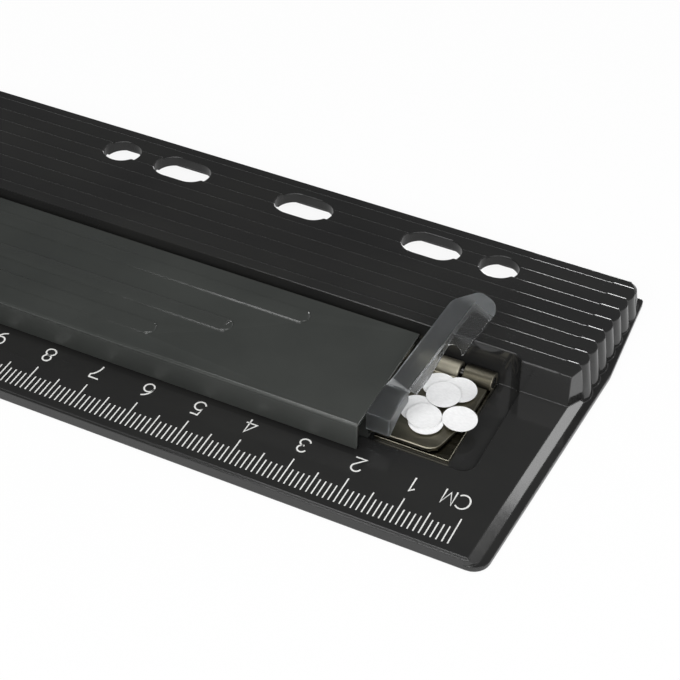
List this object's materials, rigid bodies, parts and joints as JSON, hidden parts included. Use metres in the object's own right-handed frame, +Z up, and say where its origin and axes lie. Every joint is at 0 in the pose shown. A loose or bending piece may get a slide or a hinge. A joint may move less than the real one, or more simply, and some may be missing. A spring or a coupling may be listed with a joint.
{
  "type": "ring binder hole punch",
  "caption": "Flat hole punch for ring binders with a ruler shelf, stepped rear strip with ring holes, hinged smoky press cover and a clear end gate for the paper chips.",
  "frame": {"origin": "under the middle of the base, on the table", "axes": "+X along the length towards the chip gate, +Y towards the ring holes, +Z up"},
  "size_m": [0.2932, 0.0738, 0.0218],
  "materials": {
    "black_plastic": "glossy black moulding",
    "steel_sheet": "warm nickel-plated sheet",
    "steel_wire": "drawn wire",
    "steel_pin": "turned steel",
    "smoky_plastic": "smoky translucent",
    "clear_plastic": "clear to frosted, soft",
    "paper": "plain white paper"
  },
  "bodies": {
    "base": {"base": "black_plastic", "lower_plate": "steel_sheet", "hinge_pin": "steel_wire", "punch_left": "steel_pin", "punch_middle": "steel_pin", "punch_right": "steel_pin"},
    "lever": {"upper_plate": "steel_sheet", "cover": "smoky_plastic", "gate_root": "clear_plastic", "paper_chips": "paper"},
    "gate": {"gate_leaf": "clear_plastic"}
  },
  "joints": [
    {"name": "lever_hinge", "type": "hinge", "parent": "base", "child": "lever", "pos_m": [0, 0.00155, 0.00325], "axis": [-1, 0, 0], "range_deg": [0, 10]},
    {"name": "gate_hinge", "type": "hinge", "parent": "lever", "child": "gate", "pos_m": [0.118, -0.0118, 0.0085], "axis": [-0.8924, -0.01, 0.4512], "range_deg": [0, 37]}
  ]
}
